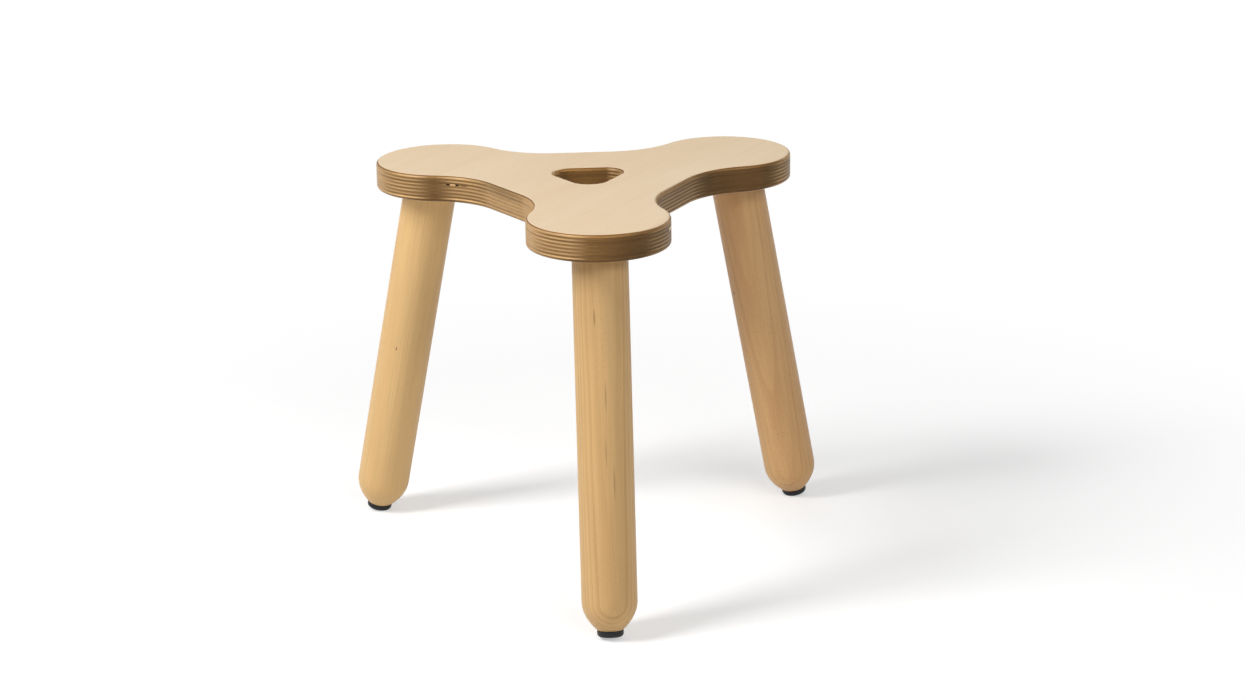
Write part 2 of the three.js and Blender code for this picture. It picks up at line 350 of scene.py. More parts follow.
def turned(outline, steps):
    """A turned shape from its outline of (radius, height) points, from the axis to the axis."""
    mesh = bmesh.new()
    turns = [2 * math.pi * step / steps for step in range(steps)]
    rings = []
    for radius, height in outline:
        if radius == 0:
            points = [(0, 0, height)]
        else:
            points = [(radius * math.cos(turn), radius * math.sin(turn), height) for turn in turns]
        rings.append(ring_of(mesh, points))
    for lower, upper in zip(rings, rings[1:]):
        if len(lower) == 1 or len(upper) == 1:
            hub, ring = (lower[0], upper) if len(lower) == 1 else (upper[0], lower)
            for index in range(steps):
                mesh.faces.new((hub, ring[index], ring[(index + 1) % steps]))
        else:
            bridge(mesh, lower, upper)
    return mesh


def rounded(centre, radius, start, end, steps):
    """Points of a rounded corner of a turned outline, about its centre."""
    points = []
    for step in range(steps + 1):
        angle = start + (end - start) * step / steps
        points.append((centre[0] + radius * math.cos(angle), centre[1] + radius * math.sin(angle)))
    return points


def leg_outline():
    """From the nail's hole in the foot, round the foot and up the shank to the bolt's hole."""
    bolt_hole = BOLT_DIAMETER / 2 + CLEARANCE
    nail_hole = NAIL_DIAMETER / 2 + CLEARANCE
    nail_hole_end = NAIL_TOP + CLEARANCE
    bolt_hole_end = POCKET_FLOOR - BOLT_LENGTH_IN_LEG - CLEARANCE
    foot = []
    for step in range(FOOT_STEPS + 1):
        share = step / FOOT_STEPS
        ends, middle = (1 - share) ** 2, 2 * share * (1 - share)
        radius = ends * GLIDE_RADIUS + (middle + share ** 2) * LEG_RADIUS
        rise = middle * FOOT_SHOULDER_HEIGHT + share ** 2 * FOOT_ROUND_HEIGHT
        foot.append((radius, LEG_BOTTOM + rise))
    shank_start = LEG_BOTTOM + FOOT_ROUND_HEIGHT
    shank_end = LEG_TOP - LEG_TOP_CHAMFER
    shank = [(LEG_RADIUS, shank_start + (shank_end - shank_start) * step / SHANK_STEPS)
             for step in range(1, SHANK_STEPS + 1)]
    return [(0, nail_hole_end), (nail_hole, nail_hole_end), (nail_hole, LEG_BOTTOM),
            (GLIDE_RADIUS - FOOT_ARRIS, LEG_BOTTOM), *foot, *shank,
            (LEG_RADIUS - LEG_TOP_CHAMFER, LEG_TOP), (bolt_hole, LEG_TOP),
            (bolt_hole, bolt_hole_end), (0, bolt_hole_end)]


def glide_outline():
    """A moulded disc with a well rounded rim, round the head of its nail."""
    shank_hole = NAIL_DIAMETER / 2 + CLEARANCE
    head_hole = NAIL_HEAD_DIAMETER / 2 + CLEARANCE
    rim_centre = (GLIDE_RADIUS - GLIDE_EDGE_ROUND, GLIDE_BOTTOM + GLIDE_EDGE_ROUND)
    lip_centre = (GLIDE_RADIUS - GLIDE_LIP_ROUND, GLIDE_TOP - GLIDE_LIP_ROUND)
    quarter = math.pi / 2
    return [(0, GLIDE_BOTTOM), (GLIDE_RADIUS - GLIDE_EDGE_ROUND - SHADING_MARGIN, GLIDE_BOTTOM),
            *rounded(rim_centre, GLIDE_EDGE_ROUND, -quarter, 0, GLIDE_EDGE_STEPS),
            *rounded(lip_centre, GLIDE_LIP_ROUND, 0, quarter, GLIDE_EDGE_STEPS),
            (shank_hole, GLIDE_TOP), (shank_hole, NAIL_HEAD_TOP + CLEARANCE),
            (head_hole, NAIL_HEAD_TOP + CLEARANCE), (head_hole, NAIL_HEAD_BOTTOM - CLEARANCE),
            (0, NAIL_HEAD_BOTTOM - CLEARANCE)]


# Materials

class Shader:
    """A node tree, with short calls that add its nodes and join them."""

    def __init__(self, tree):
        self.tree = tree

    def node(self, kind, inputs=(), **settings):
        made = self.tree.nodes.new(kind)
        for key, value in settings.items():
            setattr(made, key, value)
        for key, value in dict(inputs).items():
            self.join(value, made.inputs[key])
        return made

    def join(self, value, socket):
        if isinstance(value, bpy.types.NodeSocket):
            self.tree.links.new(value, socket)
        elif isinstance(value, bpy.types.Node):
            self.tree.links.new(value.outputs[0], socket)
        else:
            socket.default_value = value

    def math(self, operation, *values):
        return self.node("ShaderNodeMath", dict(enumerate(values)), operation=operation).outputs[0]

    def vector(self, operation, *values):
        made = self.node("ShaderNodeVectorMath", dict(enumerate(values)), operation=operation)
        return made.outputs["Value" if operation in ("DOT_PRODUCT", "LENGTH") else "Vector"]

    def combine(self, x, y, z):
        return self.node("ShaderNodeCombineXYZ", {0: x, 1: y, 2: z}).outputs[0]

    def separate(self, vector):
        return self.node("ShaderNodeSeparateXYZ", {0: vector}).outputs

    def noise(self, vector, scales, shift=(0, 0, 0), detail=2.0, roughness=0.5, distortion=0.0):
        """Smooth noise round 0.5, at so many waves in a metre along each axis."""
        place = self.vector("MULTIPLY_ADD", vector, scales, shift)
        made = self.node("ShaderNodeTexNoise", {"Vector": place, "Scale": 1.0, "Detail": detail,
                                                "Roughness": roughness, "Distortion": distortion})
        return made.outputs[0]

    def draw(self, value):
        """A number from 0 to 1, drawn for each value."""
        return self.node("ShaderNodeTexWhiteNoise", {"W": value}, noise_dimensions="1D").outputs[0]

    def range(self, value, low, high, to_low=0.0, to_high=1.0, smooth=True):
        """value from low..high to to_low..to_high, held at the ends."""
        kind = "SMOOTHSTEP" if smooth else "LINEAR"
        made = self.node("ShaderNodeMapRange", {0: value, 1: low, 2: high, 3: to_low, 4: to_high},
                         interpolation_type=kind, clamp=True)
        return made.outputs[0]

    def mix(self, share, first, second):
        """The first colour at a share of 0, the second at 1."""
        made = self.node("ShaderNodeMix", data_type="RGBA", clamp_factor=True)
        self.join(share, made.inputs["Factor"])
        self.join(first, made.inputs[6])
        self.join(second, made.inputs[7])
        return made.outputs[2]

    def choose(self, share, first, second):
        """The first number at a share of 0, the second at 1."""
        return self.node("ShaderNodeMix", {0: share, 2: first, 3: second}, data_type="FLOAT").outputs[0]

    def shade(self, colour, tone):
        """The colour made darker or paler by a tone round 1."""
        return self.vector("MULTIPLY", colour, self.combine(tone, tone, tone))

    def bump(self, height, distance, strength):
        inputs = {"Height": height, "Distance": distance, "Strength": strength}
        return self.node("ShaderNodeBump", inputs).outputs[0]


class Surface(Shader):
    """The node tree of a new material, with one principled surface."""

    def __init__(self, name):
        self.material = bpy.data.materials.new(name)
        self.material.use_nodes = True
        super().__init__(self.material.node_tree)
        self.surface = self.tree.nodes["Principled BSDF"]

    def set(self, **inputs):
        for key, value in inputs.items():
            self.join(value, self.surface.inputs[key.replace("_", " ")])


# Birch plywood. A cut along the fibres is pale and one across them is brown. The lathe checks
# of the veneers lean one way, so a cut that slants through the fibres is pale or dark with its
# side: the plies change places in tone as the edge turns.
FACE_GRAIN = math.radians(57)
FACE_COLOUR = linear(223, 198, 163)
FACE_FIGURE_COLOUR = linear(213, 183, 143)
FACE_PALE_COLOUR = linear(231, 210, 180)
EDGE_LONG_COLOUR = linear(169, 136, 93)
EDGE_PALE_SLANT_COLOUR = linear(165, 132, 90)
EDGE_DARK_SLANT_COLOUR = linear(109, 79, 43)
EDGE_END_COLOUR = linear(119, 89, 54)
GLUE_COLOUR = linear(70, 45, 26)
PORE_COLOUR = linear(132, 92, 55)

# How far the glue lines wander, and how the grain of each ply is shifted from the last
PLY_WANDER = 0.5 * MM
PLY_SHIFT = 0.37

# Waves in a metre: along the fibres, across them and through the board. The wander lies along
# the axes of the stool, and the drift changes with each ply.
WANDER_SCALES = (18, 18, 160)
FIBRE_SCALES = (14, 420, 900)
PORE_SCALES = (90, 1500, 2500)
DRIFT_SCALES = (30, 30, 7.3)
FIGURE_SCALES = (4, 40, 30)
BROAD_FIGURE_SCALES = (3, 12, 0)

# Ranges: where each starts and ends, and what it gives there when that isn't 0 and 1.
# How square the cut is to the fibres, which side it slants to, and how level the surface is.
# The pale look of the face reaches a little further round the edge where that faces right: painted
# light.
TO_SLANT = (0.08, 0.42)
TO_END = (0.8, 0.99)
TO_DARK_SIDE = (-0.15, 0.15)
TO_FACE = (0.87, 0.98)
FACE_PAINTED_LIGHT_RIGHT = (0.0, 0.5, 0.0, 0.13)

# The tones of the plies at the edge: drawn for each, drifting along each, and of single ones.
# The face ply has a tint for each side that its cut may slant to, the second ply is a paler veneer
# with painted highlight that grows where the edge faces right, and the low plies are paler where
# they are cut along their fibres.
PLY_TONES = (0.0, 1.0, 0.88, 1.12)
DRIFT_TONES = (0.3, 0.7, 0.9, 1.1)
FACE_PLY_TINTS = ((0.45, 0.31, 0.14, 1), (1.25, 1.12, 0.92, 1))
SECOND_PLY_PALE_AND_HIGHLIGHT = (-0.8, 0.2, 1.18, 2.25)
LOW_PLY_COUNT = 3
LOW_PLY_TONES = (*TO_SLANT, 1.4, 1.0)
BOTTOM_PLY_TONE = 0.86

# Shares and strengths of the finer marks, and how much of them is left on the face
FIGURE_SHARE = (0.45, 0.8, 0.0, 0.34)
BROAD_FIGURE_SHARE = (0.45, 0.75, 0.0, 0.45)
STREAK_TONES = (0.25, 0.75, 0.12, -0.14)
STREAKS_LEFT = (0.0, 1.0, 1.0, 0.12)
TO_PORE = (0.66, 0.78)
PORES_LEFT = (0.0, 1.0, 0.4, 0.12)
GLUE_FROM_JOINT = (0.0, 0.14, 1.0, 0.0)
GLUE_LEFT = (0.8, 0.95, 0.3, 0.0)

# The lacquered surface: its gloss, and its relief over the fibres and the glue
PLYWOOD_ROUGHNESS = (0.2, 0.8, 0.34, 0.46)
FACE_ROUGHER = (0.0, 1.0, 0.0, 0.06)
PLYWOOD_LACQUER = {"Specular_IOR_Level": 0.1, "Coat_Weight": 0.06, "Coat_Roughness": 0.1}
PLYWOOD_FIBRE_RELIEF = 0.5
GLUE_RELIEF = -0.6
PLYWOOD_RELIEF = 0.05 * MM
RELIEF_STRENGTH = 0.6

# Painted shade along the edge, paler on the left and darker on the right, as light falls from the
# left: a tone at each distance to the right of the stool's axis
EDGE_PAINTED_SHADE = ((-5 * MM, 1.1), (38 * MM, 0.69), (56 * MM, 0.81), (73 * MM, 0.74), (95 * MM, 0.8),
              (165 * MM, 0.92))

# Darker patches of the edge, each about a point at the height of the top: its place in plan from
# the stool's axis, the patch's half sizes, and its tone at the middle. The first is painted shade
# where the left lobe turns to face the front.
EDGE_DARK_PATCHES = (
    ((-122 * MM, 10 * MM), (36 * MM, 32 * MM, 60 * MM), 0.82),
    ((-160 * MM, 45 * MM), (24 * MM, 36 * MM, 17 * MM), 0.86),
    ((-70 * MM, -35 * MM), (60 * MM, 80 * MM, 14 * MM), 0.62),
    ((89 * MM, -4 * MM), (22 * MM, 18 * MM, 60 * MM), 0.72),
    ((146 * MM, 22 * MM), (20 * MM, 18 * MM, 60 * MM), 0.75),
)

# Flaws of the edge: two short gaps in a core veneer of the left lobe and a chip at the right of
# the front lobe. Places are in plan from the stool's axis, depths are below the top, and half
# sizes are along the edge, into the wood and up. Each gap gets painted shade, which spreads round it.
CORE_GAPS = ((-109.4 * MM, 8.1 * MM), (-102.3 * MM, 4.9 * MM))
CORE_GAP_DEPTH = 6.8 * MM
CORE_GAP_SIZE = (1.5 * MM, 1.8 * MM, 0.6 * MM)
GAP_PAINTED_SHADE = linear(48, 32, 20)
GAP_SHADE_SPREAD = 1.25
CHIP = (52.2 * MM, -142.5 * MM)
CHIP_DEPTH = 7.2 * MM
CHIP_SIZE = (3.6 * MM, 0.5 * MM, 0.9 * MM)

# Spots of another colour at the chip and the gaps: place, depth, half sizes and colour. The
# colour is full within the core share of a spot.
SPOT_CORE = 0.75
EDGE_SPOTS = (
    (CHIP, CHIP_DEPTH, (5.0 * MM, 1.4 * MM, 1.25 * MM), linear(238, 216, 182)),
    ((50.2 * MM, -147.8 * MM), 8.2 * MM, (1.8 * MM, 1.0 * MM, 0.7 * MM), linear(70, 46, 28)),
    ((-105.9 * MM, 6.5 * MM), CORE_GAP_DEPTH, (3.4 * MM, 1.8 * MM, 0.8 * MM), linear(196, 160, 116)),
    ((-97.2 * MM, 2.7 * MM), CORE_GAP_DEPTH, (4.5 * MM, 1.8 * MM, 0.55 * MM), linear(112, 80, 47)),
)


def mark(s, place, centre, size, core):
    """1 within the core share of an ellipsoid about centre, fading to 0 at its surface."""
    reach = s.vector("LENGTH", s.vector("DIVIDE", s.vector("SUBTRACT", place, centre), size))
    return s.range(reach, core, 1.0, 1.0, 0.0)


def on_edge(plan_place, depth):
    """The frame of a place on the seat's edge: X along it, Y out of the wood and Z up."""
    point, facing = min(seat_outline(), key=lambda step: (step[0] - Vector(plan_place)).length)
    along = Vector((facing.y, -facing.x))
    axes = Matrix((along.to_3d(), facing.to_3d(), Vector((0, 0, 1)))).transposed().to_4x4()
    return Matrix.Translation((point.x, point.y + AXIS_Y, SEAT_TOP - depth)) @ axes


def edge_spot(s, place, plan_place, depth, size):
    """1 at a spot on the edge, which lies along the edge there, and 0 away from it."""
    frame_of_spot = on_edge(plan_place, depth)
    offset = s.vector("SUBTRACT", place, frame_of_spot.translation)
    axes = frame_of_spot.to_3x3().transposed()
    turned_offset = s.combine(*[s.vector("DOT_PRODUCT", offset, axis) for axis in axes])
    return mark(s, turned_offset, (0, 0, 0), size, SPOT_CORE)


def plywood_place(s):
    """The sockets that the plywood's colours hang on: the place in the board, which ply it is
    in, counted from the top, and how far down that ply."""
    at = SimpleNamespace(place=s.node("ShaderNodeTexCoord").outputs["Object"])
    parts = s.separate(at.place)
    at.x, at.z = parts["X"], parts["Z"]
    wander = s.math("SUBTRACT", s.noise(at.place, WANDER_SCALES), 0.5)
    wavy_depth = s.math("MULTIPLY_ADD", wander, PLY_WANDER, s.math("SUBTRACT", SEAT_TOP, at.z))
    sanded_off = PLY_THICKNESS - FACE_VENEER_THICKNESS
    plies = s.math("DIVIDE", s.math("ADD", wavy_depth, sanded_off), PLY_THICKNESS)
    at.ply = s.math("MINIMUM", s.math("FLOOR", plies), PLY_COUNT - 1)
    at.in_ply = s.math("FRACT", plies)
    return at


def add_fibre_directions(s, at):
    """Adds the place along and across the face's fibres and those of its own ply, which lie
    at right angles in every second ply, and how the surface is turned to them and to the flat."""
    along_face = (math.cos(FACE_GRAIN), math.sin(FACE_GRAIN), 0)
    across_face = (-math.sin(FACE_GRAIN), math.cos(FACE_GRAIN), 0)
    at.u = s.vector("DOT_PRODUCT", at.place, along_face)
    at.v = s.vector("DOT_PRODUCT", at.place, across_face)
    facing = s.node("ShaderNodeNewGeometry").outputs["Normal"]
    facing_u = s.vector("DOT_PRODUCT", facing, along_face)
    facing_v = s.vector("DOT_PRODUCT", facing, across_face)
    at.slant_side = s.math("MULTIPLY", facing_u, facing_v)
    odd = s.math("MODULO", at.ply, 2.0)
    at.along = s.choose(odd, at.u, at.v)
    at.across = s.choose(odd, at.v, at.u)
    at.into_fibres = s.choose(odd, s.math("ABSOLUTE", facing_u), s.math("ABSOLUTE", facing_v))

    parts = s.separate(facing)
    at.facing_right = parts["X"]
    at.level = s.math("ABSOLUTE", parts["Z"])
    # Painted light: the face's pale colour runs further down the rounding where it faces right
    painted_light_right = s.range(at.facing_right, *FACE_PAINTED_LIGHT_RIGHT)
    at.flat = s.range(s.math("ADD", at.level, painted_light_right), *TO_FACE)


def plywood_face(s, at):
    """The face veneer: pale, with a faint slanting figure."""
    grain = s.combine(at.u, at.v, at.z)
    figure = s.noise(grain, FIGURE_SCALES, detail=3.0, roughness=0.55, distortion=0.35)
    broad = s.noise(grain, BROAD_FIGURE_SCALES, distortion=0.6)
    face = s.mix(s.range(figure, *FIGURE_SHARE), FACE_COLOUR, FACE_FIGURE_COLOUR)
    return s.mix(s.range(broad, *BROAD_FIGURE_SHARE), face, FACE_PALE_COLOUR)


def plywood_edge(s, at):
    """The cut plies. Their colour depends on the angle between the cut and their fibres; the second ply
    also carries painted highlight.
    """
    dark_side = s.range(at.slant_side, *TO_DARK_SIDE)
    slant = s.mix(dark_side, EDGE_PALE_SLANT_COLOUR, EDGE_DARK_SLANT_COLOUR)
    edge = s.mix(s.range(at.into_fibres, *TO_SLANT), EDGE_LONG_COLOUR, slant)
    edge = s.mix(s.range(at.into_fibres, *TO_END), edge, EDGE_END_COLOUR)
    edge = s.shade(edge, s.range(s.draw(at.ply), *PLY_TONES))
    drift = s.noise(s.combine(at.along, at.across, at.ply), DRIFT_SCALES)
    edge = s.shade(edge, s.range(drift, *DRIFT_TONES, smooth=False))

    first = s.math("LESS_THAN", at.ply, 0.5)
    second = s.math("COMPARE", at.ply, 1.0, 0.5)
    low = s.math("GREATER_THAN", at.ply, PLY_COUNT - LOW_PLY_COUNT - 0.5)
    bottom = s.math("GREATER_THAN", at.ply, PLY_COUNT - 1.5)
    edge = s.mix(first, edge, s.vector("MULTIPLY", edge, s.mix(dark_side, *FACE_PLY_TINTS)))
    # The second ply: a paler veneer, with painted highlight that grows where the edge faces right
    edge = s.shade(edge, s.choose(second, 1.0, s.range(at.facing_right, *SECOND_PLY_PALE_AND_HIGHLIGHT)))
    edge = s.shade(edge, s.choose(low, 1.0, s.range(at.into_fibres, *LOW_PLY_TONES)))
    return s.shade(edge, s.choose(bottom, 1.0, BOTTOM_PLY_TONE))


def plywood_edge_painted_shade(s, at, edge):
    """The edge with painted shade, paler on the left and darker on the right, and with its darker
    patches.
    """
    edge = s.shade(edge, EDGE_PAINTED_SHADE[0][1])
    for (start, tone), (end, next_tone) in zip(EDGE_PAINTED_SHADE, EDGE_PAINTED_SHADE[1:]):
        edge = s.shade(edge, s.range(at.x, start, end, 1.0, next_tone / tone))
    # Darker patches; the first is painted shade on the front-facing side of the left lobe
    for (x, y), size, tone in EDGE_DARK_PATCHES:
        dark_patch = mark(s, at.place, (x, y + AXIS_Y, SEAT_TOP), size, 0.0)
        edge = s.shade(edge, s.range(dark_patch, 0.0, 1.0, 1.0, tone))
    return edge


def plywood_flaws(s, place, wood):
    """The wood with the spots of its edge, and painted shade in its core gaps."""
    for plan_place, depth, size, colour in EDGE_SPOTS:
        wood = s.mix(edge_spot(s, place, plan_place, depth, size), wood, colour)
    # Painted shade in each core gap, spreading a little round it
    gap_shade_size = [GAP_SHADE_SPREAD * part for part in CORE_GAP_SIZE]
    for gap in CORE_GAPS:
        wood = s.mix(edge_spot(s, place, gap, CORE_GAP_DEPTH, gap_shade_size), wood, GAP_PAINTED_SHADE)
    return wood


def birch_plywood():
    """Solid plywood: each ply has its own fibres, at right angles to its neighbours'."""
    s = Surface("birch_plywood")
    at = plywood_place(s)
    add_fibre_directions(s, at)
    shifted = s.math("ADD", at.across, s.math("MULTIPLY", at.ply, PLY_SHIFT))
    grain = s.combine(at.along, shifted, at.z)
    fibres = s.noise(grain, FIBRE_SCALES, detail=3.0, roughness=0.6)
    pores = s.noise(grain, PORE_SCALES, detail=1.0)

    edge = plywood_edge_painted_shade(s, at, plywood_edge(s, at))
    wood = s.mix(at.flat, edge, plywood_face(s, at))
    streak = s.math("MULTIPLY", s.range(fibres, *STREAK_TONES, smooth=False),
                    s.range(at.flat, *STREAKS_LEFT))
    wood = s.shade(wood, s.math("ADD", streak, 1.0))
    pore = s.math("MULTIPLY", s.range(pores, *TO_PORE), s.range(at.flat, *PORES_LEFT))
    wood = s.mix(pore, wood, PORE_COLOUR)
    to_joint = s.math("MINIMUM", at.in_ply, s.math("SUBTRACT", 1.0, at.in_ply))
    glue = s.math("MULTIPLY", s.range(to_joint, *GLUE_FROM_JOINT), s.range(at.level, *GLUE_LEFT))
    wood = s.mix(glue, wood, GLUE_COLOUR)
    wood = plywood_flaws(s, at.place, wood)

    rough = s.math("ADD", s.range(fibres, *PLYWOOD_ROUGHNESS), s.range(at.flat, *FACE_ROUGHER))
    ridges = s.math("ADD", s.math("MULTIPLY", fibres, PLYWOOD_FIBRE_RELIEF),
                    s.math("MULTIPLY", glue, GLUE_RELIEF))
    normal = s.bump(ridges, PLYWOOD_RELIEF, RELIEF_STRENGTH)
    s.set(Base_Color=wood, Roughness=rough, Normal=normal, **PLYWOOD_LACQUER)
    return s.material


# Beech. For each leg: a seed, the side that faced the bark in degrees, how far behind it the
# heart of the tree lay and how that distance grows up the leg, the colours of its early and late
# wood, the strengths of its late bands and of its flecks, its painted shade as (height, tone below
# it, tone at the seat), darker towards the seat that shades the leg's top, and its dark marks as
# (turn round the leg in degrees, height, half width, half height, strength). Heights are along the
# leg, from the seat's underside.
BEECH_LEGS = {
    "front": {
        "seed": 3.1, "bark_side": 5, "heart": 95 * MM, "slope": 0.008,
        "early": linear(206, 169, 115), "late": linear(172, 130, 78), "bands": 0.7, "flecks": 0.3,
        "seat_shade": (-90 * MM, 1.0, 0.78),
        "marks": ((-18, -50 * MM, 1.0 * MM, 9 * MM, 0.5), (1, -108 * MM, 0.8 * MM, 15 * MM, 0.45),
                  (-2, -150 * MM, 0.7 * MM, 17 * MM, 0.45), (13, -172 * MM, 0.9 * MM, 17 * MM, 0.45)),
    },
    "right": {
        "seed": 7.7, "bark_side": -132, "heart": 62 * MM, "slope": 0.026,
        "early": linear(204, 163, 111), "late": linear(176, 126, 80), "bands": 0.6, "flecks": 0.55,
        "seat_shade": (-280 * MM, 1.08, 0.87),
        "marks": ((173, -98 * MM, 1.4 * MM, 2.4 * MM, 0.9),),
    },
    "left": {
        "seed": 12.4, "bark_side": 35, "heart": 120 * MM, "slope": 0.004,
        "early": linear(212, 175, 119), "late": linear(197, 156, 102), "bands": 0.35,
        "flecks": 0.12,
        "seat_shade": (-280 * MM, 1.0, 1.0),
        "marks": ((98, -138 * MM, 0.9 * MM, 2.0 * MM, 0.9),),
    },
}
FLECK_COLOUR = linear(136, 92, 54)
MARK_COLOUR = linear(96, 60, 32)
RING_WIDTH = 2.6 * MM
RING_DRIFT = 5 * MM
MARK_WANDER = 1.2 * MM
MARK_CORE = 0.2

# Waves in a metre: across the leg both ways and up it. For the rays: out from the heart of the
# tree, round it and up.
RING_DRIFT_SCALES = (14, 14, 4)
BROAD_TONE_SCALES = (30, 30, 3)
BEECH_FIBRE_SCALES = (800, 800, 16)
RAY_SCALES = (130, 1300, 360)
RAY_SIZE_SCALES = (40, 40, 12)
MARK_WANDER_SCALES = (300, 300, 40)

# Ranges: where each starts and ends, and what it gives there
LATE_WOOD_DARKENS = (0.25, 0.92)
LATE_WOOD_STOPS = (0.94, 1.0, 1.0, 0.0)
RING_STRENGTHS = (0.0, 1.0, 0.25, 0.9)
BROAD_TONE_SHARE = (0.3, 0.75, 0.0, 0.4)
RAY_SHARE = (0.16, 0.34, 1.0, 0.0)
RAY_STRENGTHS = (0.35, 0.65, 0.15, 0.6)
BEECH_FIBRE_TONES = (0.25, 0.75, 1.05, 0.92)
BEECH_ROUGHNESS = (0.2, 0.8, 0.4, 0.54)

# The lacquered surface
BEECH_LACQUER = {"Specular_IOR_Level": 0.3, "Coat_Weight": 0.1, "Coat_Roughness": 0.35}
BEECH_FIBRE_RELIEF = 0.6
FLECK_RELIEF = -0.4
BEECH_RELIEF = 0.04 * MM


def late_wood(s, from_heart, drift, seed):
    """The dark end of each growth ring, stronger in some rings than in others."""
    rings = s.math("DIVIDE", s.math("MULTIPLY_ADD", drift, RING_DRIFT, from_heart), RING_WIDTH)
    in_ring = s.math("FRACT", rings)
    late = s.math("MULTIPLY", s.range(in_ring, *LATE_WOOD_DARKENS),
                  s.range(in_ring, *LATE_WOOD_STOPS))
    drawn = s.draw(s.math("ADD", s.math("FLOOR", rings), seed))
    return s.math("MULTIPLY", late, s.range(drawn, *RING_STRENGTHS))


def ray_flecks(s, place, from_heart, round_heart, z):
    """The short brown ends of the rays, larger in some places than in others."""
    ray_place = s.vector("MULTIPLY", s.combine(from_heart, round_heart, z), RAY_SCALES)
    cells = s.node("ShaderNodeTexVoronoi", {"Vector": ray_place, "Scale": 1.0}, feature="F1")
    size = s.noise(place, RAY_SIZE_SCALES, detail=1.0)
    fleck = s.range(cells.outputs["Distance"], *RAY_SHARE)
    return s.math("MULTIPLY", fleck, s.range(size, *RAY_STRENGTHS))


def dark_marks(s, place, marks, wood):
    """The wood with its dark marks, whose outlines waver."""
    waver = s.noise(place, MARK_WANDER_SCALES)
    sway = s.math("MULTIPLY", s.math("SUBTRACT", waver, 0.5), MARK_WANDER)
    swayed = s.vector("ADD", place, s.combine(sway, sway, 0.0))
    for turn_degrees, height, half_width, half_height, strength in marks:
        turn = math.radians(turn_degrees)
        centre = (LEG_RADIUS * math.cos(turn), LEG_RADIUS * math.sin(turn), height)
        stained = mark(s, swayed, centre, (half_width, half_width, half_height), MARK_CORE)
        wood = s.mix(s.math("MULTIPLY", stained, strength), wood, MARK_COLOUR)
    return wood


def beech(side):
    """Solid beech in the frame of a leg: growth rings about the heart of the tree, fine
    fibres, and the short brown rays that fleck the surface."""
    facts = BEECH_LEGS[side]
    shift = (0, 0, facts["seed"])
    s = Surface("beech_" + side)
    place = s.node("ShaderNodeAttribute", attribute_name=GRAIN_PLACE).outputs["Vector"]
    x, y, z = s.separate(place)
    bark = math.radians(facts["bark_side"])
    to_heart = s.math("MULTIPLY_ADD", z, facts["slope"], facts["heart"])
    from_x = s.math("MULTIPLY_ADD", to_heart, math.cos(bark), x)
    from_y = s.math("MULTIPLY_ADD", to_heart, math.sin(bark), y)
    from_heart = s.vector("LENGTH", s.combine(from_x, from_y, 0.0))
    round_heart = s.math("MULTIPLY", s.math("ARCTAN2", from_y, from_x), facts["heart"])

    late = late_wood(s, from_heart, s.noise(place, RING_DRIFT_SCALES, shift), facts["seed"])
    flecks = ray_flecks(s, place, from_heart, round_heart, z)
    broad = s.noise(place, BROAD_TONE_SCALES, shift)
    fibres = s.noise(place, BEECH_FIBRE_SCALES, shift, detail=3.0, roughness=0.6)
    wood = s.mix(s.range(broad, *BROAD_TONE_SHARE), facts["early"], facts["late"])
    wood = s.mix(s.math("MULTIPLY", late, facts["bands"]), wood, facts["late"])
    wood = s.mix(s.math("MULTIPLY", flecks, facts["flecks"]), wood, FLECK_COLOUR)
    wood = dark_marks(s, place, facts["marks"], wood)
    wood = s.shade(wood, s.range(fibres, *BEECH_FIBRE_TONES, smooth=False))
    # Painted shade: the leg darkens up towards the seat, which shades its top
    tone_from, low_tone, high_tone = facts["seat_shade"]
    wood = s.shade(wood, s.range(z, tone_from, 0.0, low_tone, high_tone, smooth=False))

    ridges = s.math("ADD", s.math("MULTIPLY", fibres, BEECH_FIBRE_RELIEF),
                    s.math("MULTIPLY", flecks, FLECK_RELIEF))
    s.set(Base_Color=wood, Roughness=s.range(fibres, *BEECH_ROUGHNESS),
          Normal=s.bump(ridges, BEECH_RELIEF, RELIEF_STRENGTH), **BEECH_LACQUER)
    return s.material


# Plastic and steel: noise scales in waves in a metre, and ranges as above
PLASTIC_COLOUR = linear(24, 24, 25)
PLASTIC_SPECULAR = 0.3
SCUFF_COLOUR = linear(70, 69, 67)
SCUFF_HEIGHT = 1.2 * MM
SCUFF_STRENGTH = 0.5
SCUFF_ROUGHER = 0.2
TO_SCUFF = (0.4, 0.7)
PLASTIC_ROUGHNESS = (0.2, 0.8, 0.38, 0.5)
PLASTIC_GRAIN_SCALES = (5200, 5200, 5200)
PLASTIC_CLOUD_SCALES = (420, 420, 420)
PLASTIC_RELIEF = 0.03 * MM
STEEL_COOL_COLOUR = linear(176, 180, 184)
STEEL_WARM_COLOUR = linear(196, 196, 190)
STEEL_MOTTLE = (0.3, 0.7)
STEEL_ROUGHNESS = (0.2, 0.8, 0.24, 0.42)
STEEL_MOTTLE_SCALES = (900, 900, 900)
STEEL_DRAWN_SCALES = (5000, 5000, 300)
STEEL_RELIEF = 0.01 * MM
SMALL_PART_RELIEF_STRENGTH = 0.5


